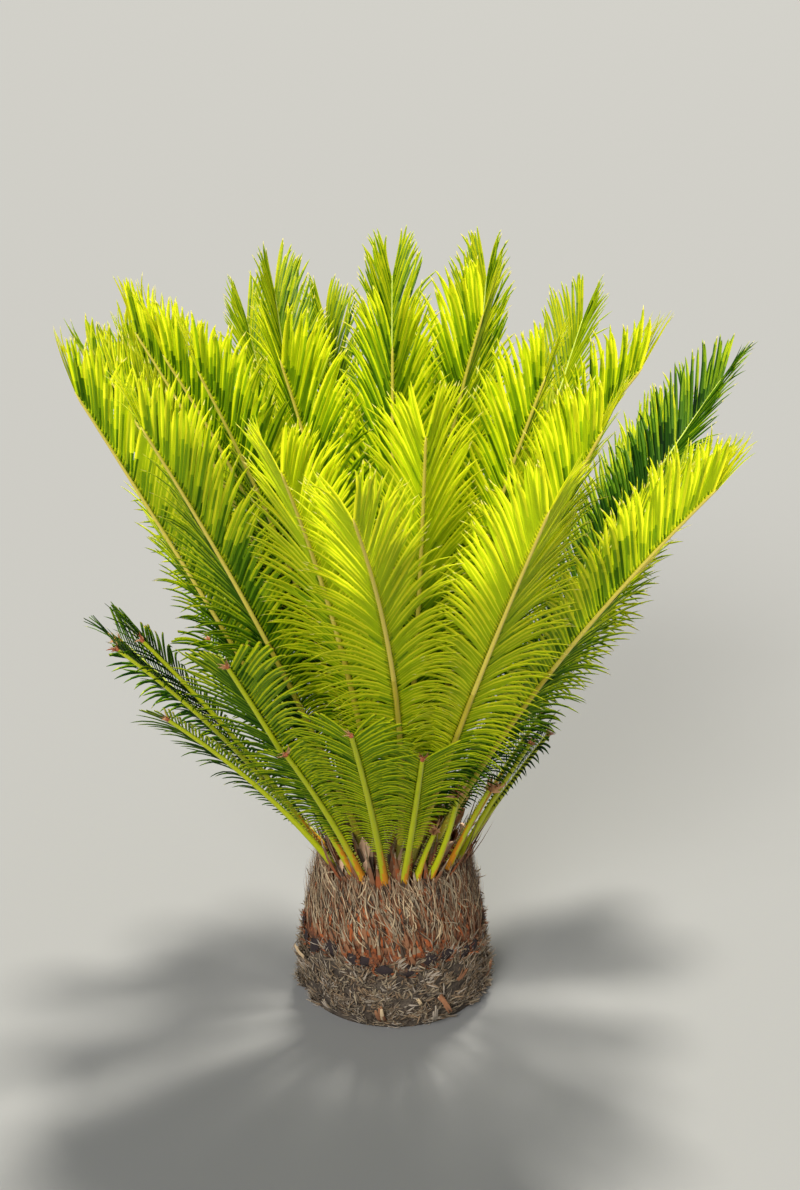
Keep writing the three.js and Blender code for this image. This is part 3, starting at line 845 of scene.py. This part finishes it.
class Value:
    """A number that varies over a surface. Sums on it add Math nodes."""

    def __init__(self, finish, socket):
        self.finish = finish
        self.socket = socket

    def sum(self, operation, first, second):
        return self.finish.node("ShaderNodeMath", {"operation": operation}, {0: first, 1: second})

    def __add__(self, other):
        return self.sum("ADD", self, other)

    def __radd__(self, other):
        return self.sum("ADD", other, self)

    def __mul__(self, other):
        return self.sum("MULTIPLY", self, other)

    def __rmul__(self, other):
        return self.sum("MULTIPLY", other, self)


class Finish:
    """A material in the making, around one Principled shader."""

    def __init__(self, name):
        self.material = bpy.data.materials.new(name)
        self.material.use_nodes = True
        self.tree = self.material.node_tree
        self.shader = self.tree.nodes["Principled BSDF"]

    def node(self, kind, settings=None, inputs=None, output=0):
        """Adds a node: its settings first, then the values or links of its sockets."""
        node = self.tree.nodes.new(kind)
        for key, setting in (settings or {}).items():
            if key == "stops":
                while len(node.color_ramp.elements) < len(setting):
                    node.color_ramp.elements.new(0.5)
                for element, (position, colour) in zip(node.color_ramp.elements, setting):
                    element.position = position
                    element.color = (*colour, 1)
            else:
                setattr(node, key, setting)
        for key, value in (inputs or {}).items():
            self.join(node.inputs[key], value)
        return Value(self, node.outputs[output])

    def join(self, socket, value):
        if isinstance(value, Value):
            self.tree.links.new(value.socket, socket)
        else:
            socket.default_value = value

    def shade(self, **sockets):
        """Sets the shader's sockets, named with underscores for spaces."""
        for name, value in sockets.items():
            self.join(self.shader.inputs[name.replace("_", " ")], value)
        return self.material

    def place(self):
        return self.node("ShaderNodeTexCoord", output="Object")

    def noise(self, scale, detail=3, roughness=0.55, vector=None):
        inputs = {"Scale": scale, "Detail": detail, "Roughness": roughness}
        inputs["Vector"] = vector or self.place()
        return self.node("ShaderNodeTexNoise", {}, inputs, "Fac")

    def ramp(self, share, *stops):
        """A colour by a share, from stops that each have a place and a colour as it looks on screen."""
        stops = [(place, linear(*colour)) for place, colour in stops]
        return self.node("ShaderNodeValToRGB", {"stops": stops}, {"Fac": share})

    def mix(self, share, first, second):
        """A colour between two, by a share from 0 to 1. Mix has its colours in sockets 6, 7 and 2."""
        return self.node("ShaderNodeMix", {"data_type": "RGBA"}, {"Factor": share, 6: first, 7: second}, 2)

    def bump(self, height, distance):
        return self.node("ShaderNodeBump", {}, {"Height": height, "Distance": distance})


def linear(red, green, blue):
    """A colour given as it looks on screen, 0 to 255, as the shader wants it."""
    return tuple(((value / 255 + 0.055) / 1.055) ** 2.4 if value > 10 else value / 255 / 12.92
                 for value in (red, green, blue))


def shade_of(colour, factor):
    return (*[min(part * factor, 1) for part in colour], 1)


def leaf_finish(name, colour, glow, roughness, sheen=0.3):
    """A leathery leaflet: a little mottled, with a soft sheen, and the light that comes through it."""
    finish = Finish(name)
    colour = linear(*colour)
    mottle = finish.noise(45)
    material = finish.shade(
        Base_Color=finish.mix(mottle, shade_of(colour, 0.78), shade_of(colour, 1.22)),
        Roughness=roughness + 0.12 * mottle,
        Specular_IOR_Level=sheen,
    )
    # The light crosses two faces, so each of them takes the square root of the colour
    through = finish.node("ShaderNodeBsdfTranslucent", {}, {"Color": (*np.sqrt(linear(*glow)), 1)})
    surface = Value(finish, finish.shader.outputs[0])
    blend = finish.node("ShaderNodeMixShader", {}, {0: LIGHT_THROUGH, 1: surface, 2: through})
    finish.join(finish.tree.nodes["Material Output"].inputs["Surface"], blend)
    return material


def woody_finish(name, colour, other, scale, roughness):
    """Rib, husk or scar: two colours through a noise, with a fine grain."""
    finish = Finish(name)
    mottle = finish.noise(scale)
    fine = finish.noise(scale * 9, 5)
    return finish.shade(
        Base_Color=finish.mix(mottle * 0.7 + fine * 0.3, (*linear(*colour), 1), (*linear(*other), 1)),
        Roughness=roughness + 0.15 * fine,
        Normal=finish.bump(fine, WOOD_GRAIN),
    )


def bark_finish():
    """The trunk's ground under its leaf bases: rust felt above, grey-brown matted fibre below."""
    finish = Finish("bark_ground")
    place = finish.place()
    lumps = finish.noise(60, 6, 0.65, place)
    fibres = finish.noise(260, 4, 0.7, place)
    height = finish.node("ShaderNodeSeparateXYZ", {}, {0: place}, "Z")
    upper = finish.node(
        "ShaderNodeMapRange", {}, {"Value": height + 0.03 * lumps, 1: BARK_TOP + 0.01, 2: BARK_TOP + 0.03}
    )
    mixed = lumps * 0.5 + fibres * 0.5
    weathered = finish.ramp(mixed, (0.25, (28, 22, 18)), (0.5, (66, 56, 46)), (0.75, (110, 98, 82)))
    felt = finish.ramp(fibres, (0.3, (40, 24, 18)), (0.5, (110, 58, 28)), (0.75, (160, 96, 48)))
    return finish.shade(
        Base_Color=finish.mix(upper, weathered, felt),
        Roughness=0.85 + 0.1 * fibres,
        Normal=finish.bump(lumps * 0.6 + fibres * 0.4, 0.002),
    )


# Leaflets: a name, the colour, the colour of the light that comes through, the roughness, and the sheen
# where it isn't the usual one. Each list holds painted light and shade: shaded and sunlit copies of the
# leaf's colours, from the most shaded tone to the sunniest, then the own colours of tips and of cut ends,
# upper side first
YOUNG_LEAF = [leaf_finish(f"young_{name}", *looks) for name, *looks in (
    ("upper_deep", (14, 46, 4), (30, 66, 3), 0.4, 0.12),
    ("upper_shaded", (42, 86, 8), (76, 118, 6), 0.34, 0.12),
    ("upper_green", (84, 130, 8), (150, 184, 8), 0.36),
    ("upper_fresh", (134, 170, 10), (212, 226, 12), 0.38),
    ("upper_sunlit", (182, 200, 14), (240, 242, 18), 0.38),
    ("upper_golden", (222, 224, 26), (252, 250, 40), 0.38),
    ("upper_tip", (226, 218, 110), (250, 240, 120), 0.5),
    ("under_deep", (26, 60, 5), (30, 66, 3), 0.5, 0.12),
    ("under_shaded", (68, 110, 10), (76, 118, 6), 0.46, 0.12),
    ("under_green", (118, 156, 12), (150, 184, 8), 0.46),
    ("under_fresh", (162, 186, 14), (212, 226, 12), 0.46),
    ("under_sunlit", (204, 212, 22), (240, 242, 18), 0.46),
    ("under_golden", (232, 230, 40), (252, 250, 40), 0.46),
    ("under_tip", (226, 218, 120), (250, 240, 130), 0.5),
)]
OLD_LEAF = [leaf_finish(f"old_{name}", *looks) for name, *looks in (
    ("upper_dark", (12, 40, 14), (22, 56, 8), 0.3, 0.12),
    ("upper_deep", (28, 68, 14), (56, 100, 8), 0.3, 0.12),
    ("upper_green", (64, 108, 14), (120, 164, 10), 0.34),
    ("upper_light", (118, 154, 18), (190, 214, 16), 0.38),
    ("upper_bright", (184, 202, 20), (232, 240, 20), 0.38),
    ("upper_straw", (196, 190, 80), (226, 216, 90), 0.5),
    ("upper_burnt", (176, 112, 56), (210, 140, 70), 0.6),
    ("under_dark", (34, 66, 14), (22, 56, 8), 0.46, 0.12),
    ("under_deep", (66, 106, 16), (56, 100, 8), 0.46, 0.12),
    ("under_green", (118, 152, 20), (120, 164, 10), 0.46),
    ("under_light", (166, 190, 26), (190, 214, 16), 0.46),
    ("under_bright", (218, 222, 26), (232, 240, 20), 0.46),
    ("under_straw", (204, 196, 96), (226, 216, 90), 0.5),
    ("under_burnt", (190, 130, 70), (210, 140, 76), 0.6),
)]
# Ribs and husks: a name, two colours, how fine they are mottled, and the roughness
RIB = [woody_finish(name, *looks) for name, *looks in (
    ("rib_felt", (120, 62, 26), (92, 70, 44), 90, 0.85),
    ("rib_ochre", (178, 160, 40), (202, 184, 56), 50, 0.5),
    ("rib_golden", (212, 190, 74), (222, 206, 90), 50, 0.45),
    ("stalk_green", (170, 184, 16), (196, 200, 20), 40, 0.36),
    ("rib_pale", (176, 190, 60), (190, 204, 80), 40, 0.42),
    ("stalk_orange", (216, 132, 26), (226, 158, 30), 60, 0.42),
    ("cut_scar", (128, 62, 36), (190, 110, 66), 180, 0.8),
    ("stalk_olive", (122, 118, 44), (146, 138, 48), 60, 0.5),
    ("stalk_lime", (204, 184, 26), (190, 190, 28), 60, 0.4),
    ("cut_withered", (216, 172, 124), (186, 128, 86), 160, 0.8),
)]
HUSK = [woody_finish(name, *looks) for name, *looks in (
    ("husk_felt", (132, 62, 28), (172, 96, 48), 120, 0.9),
    ("husk_rust", (118, 72, 46), (152, 108, 74), 120, 0.88),
    ("husk_brown", (120, 98, 74), (154, 128, 98), 150, 0.85),
    ("husk_grey", (144, 128, 104), (172, 154, 126), 150, 0.85),
    ("husk_straw", (186, 160, 122), (212, 186, 148), 150, 0.8),
    ("husk_dark", (58, 44, 34), (80, 64, 50), 150, 0.9),
    ("husk_earth", (104, 90, 74), (130, 114, 94), 150, 0.92),
    ("husk_ash", (150, 136, 120), (180, 166, 148), 150, 0.9),
    ("scar", (20, 13, 14), (48, 32, 32), 200, 0.75),
    ("scrap", (214, 184, 152), (188, 144, 116), 90, 0.75),
)]


# Building


def build_fronds():
    young = [Frond(f"young_frond_{number:02d}", row, False) for number, row in enumerate(YOUNG_FRONDS, 1)]
    old = [Frond(f"old_frond_{number:02d}", row, True) for number, row in enumerate(OLD_FRONDS, 1)]
    size = len(young) // YOUNG_PIECES
    groups = [young[start:start + size] for start in range(0, len(young), size)]
    pieces = [(f"young_leaflets_{number}", group, YOUNG_LEAF) for number, group in enumerate(groups, 1)]
    for name, group, materials in (*pieces, ("old_leaflets", old, OLD_LEAF)):
        heap = Heap()
        for frond in group:
            if frond.has_leaves:
                add_leaflets(heap, frond, 1)
                add_leaflets(heap, frond, -1)
        slot = "old_frond" if group is old else "young_frond"
        heap.piece(name, slot, materials, [frond.name for frond in group])
    for name, group, slot in (("young_ribs", young, "young_frond"), ("old_ribs", old, "old_frond")):
        heap = Heap()
        for frond in group:
            add_rib(heap, frond)
            add_thorns(heap, frond)
            if frond.old:
                add_withered_ends(heap, frond)
        heap.piece(name, slot, RIB, [frond.name for frond in group])


def build_trunk():
    pieces = (
        ("trunk_barrel", [bark_finish()], ["trunk"], [add_trunk]),
        ("leaf_bases", HUSK, (), [add_leaf_bases, add_felt, add_fibres]),
        ("leaf_scars", HUSK, (), [add_scars]),
        ("bark_tufts", HUSK, (), [add_bark_tufts, add_stubs]),
        ("crown_scales", HUSK, (), [add_crown_scales, add_scraps]),
    )
    for name, materials, replaced, steps in pieces:
        heap = Heap()
        for add in steps:
            add(heap)
        heap.piece(name, "trunk_bark", materials, replaced)


def build_floor():
    mesh = bpy.data.meshes.new("floor")
    far = FLOOR_REACH
    mesh.from_pydata([(-far, -far, 0), (far, -far, 0), (far, far, 0), (-far, far, 0)], [], [(0, 1, 2, 3)])
    finish = Finish("pale_floor")
    mesh.materials.append(finish.shade(Base_Color=FLOOR_COLOUR, Roughness=0.9))
    floor = bpy.data.objects.new("floor", mesh)
    bpy.context.scene.collection.objects.link(floor)


def build_lights():
    for name, azimuth, height, width, strength, colour in SUNS:
        lamp = bpy.data.lights.new(name, "SUN")
        lamp.angle = np.radians(width)
        lamp.energy = strength
        lamp.color = colour
        light = bpy.data.objects.new(name, lamp)
        light.rotation_euler = (np.radians(90 - height), 0, np.radians(azimuth + 90))
        bpy.context.scene.collection.objects.link(light)
    world = bpy.data.worlds.new("soft_room")
    world.use_nodes = True
    background = world.node_tree.nodes["Background"]
    background.inputs["Color"].default_value = ROOM_COLOUR
    background.inputs["Strength"].default_value = ROOM_STRENGTH
    bpy.context.scene.world = world
    bpy.context.scene.view_settings.view_transform = "Standard"


def build_camera():
    lens = bpy.data.cameras.new("camera")
    lens.lens = CAMERA_LENS
    camera = bpy.data.objects.new("camera", lens)
    camera.location = CAMERA_PLACE
    camera.rotation_euler = (np.radians(90 - CAMERA_TILT), 0, 0)
    bpy.context.scene.collection.objects.link(camera)
    bpy.context.scene.camera = camera


build_floor()
build_lights()
build_camera()
build_trunk()
build_fronds()
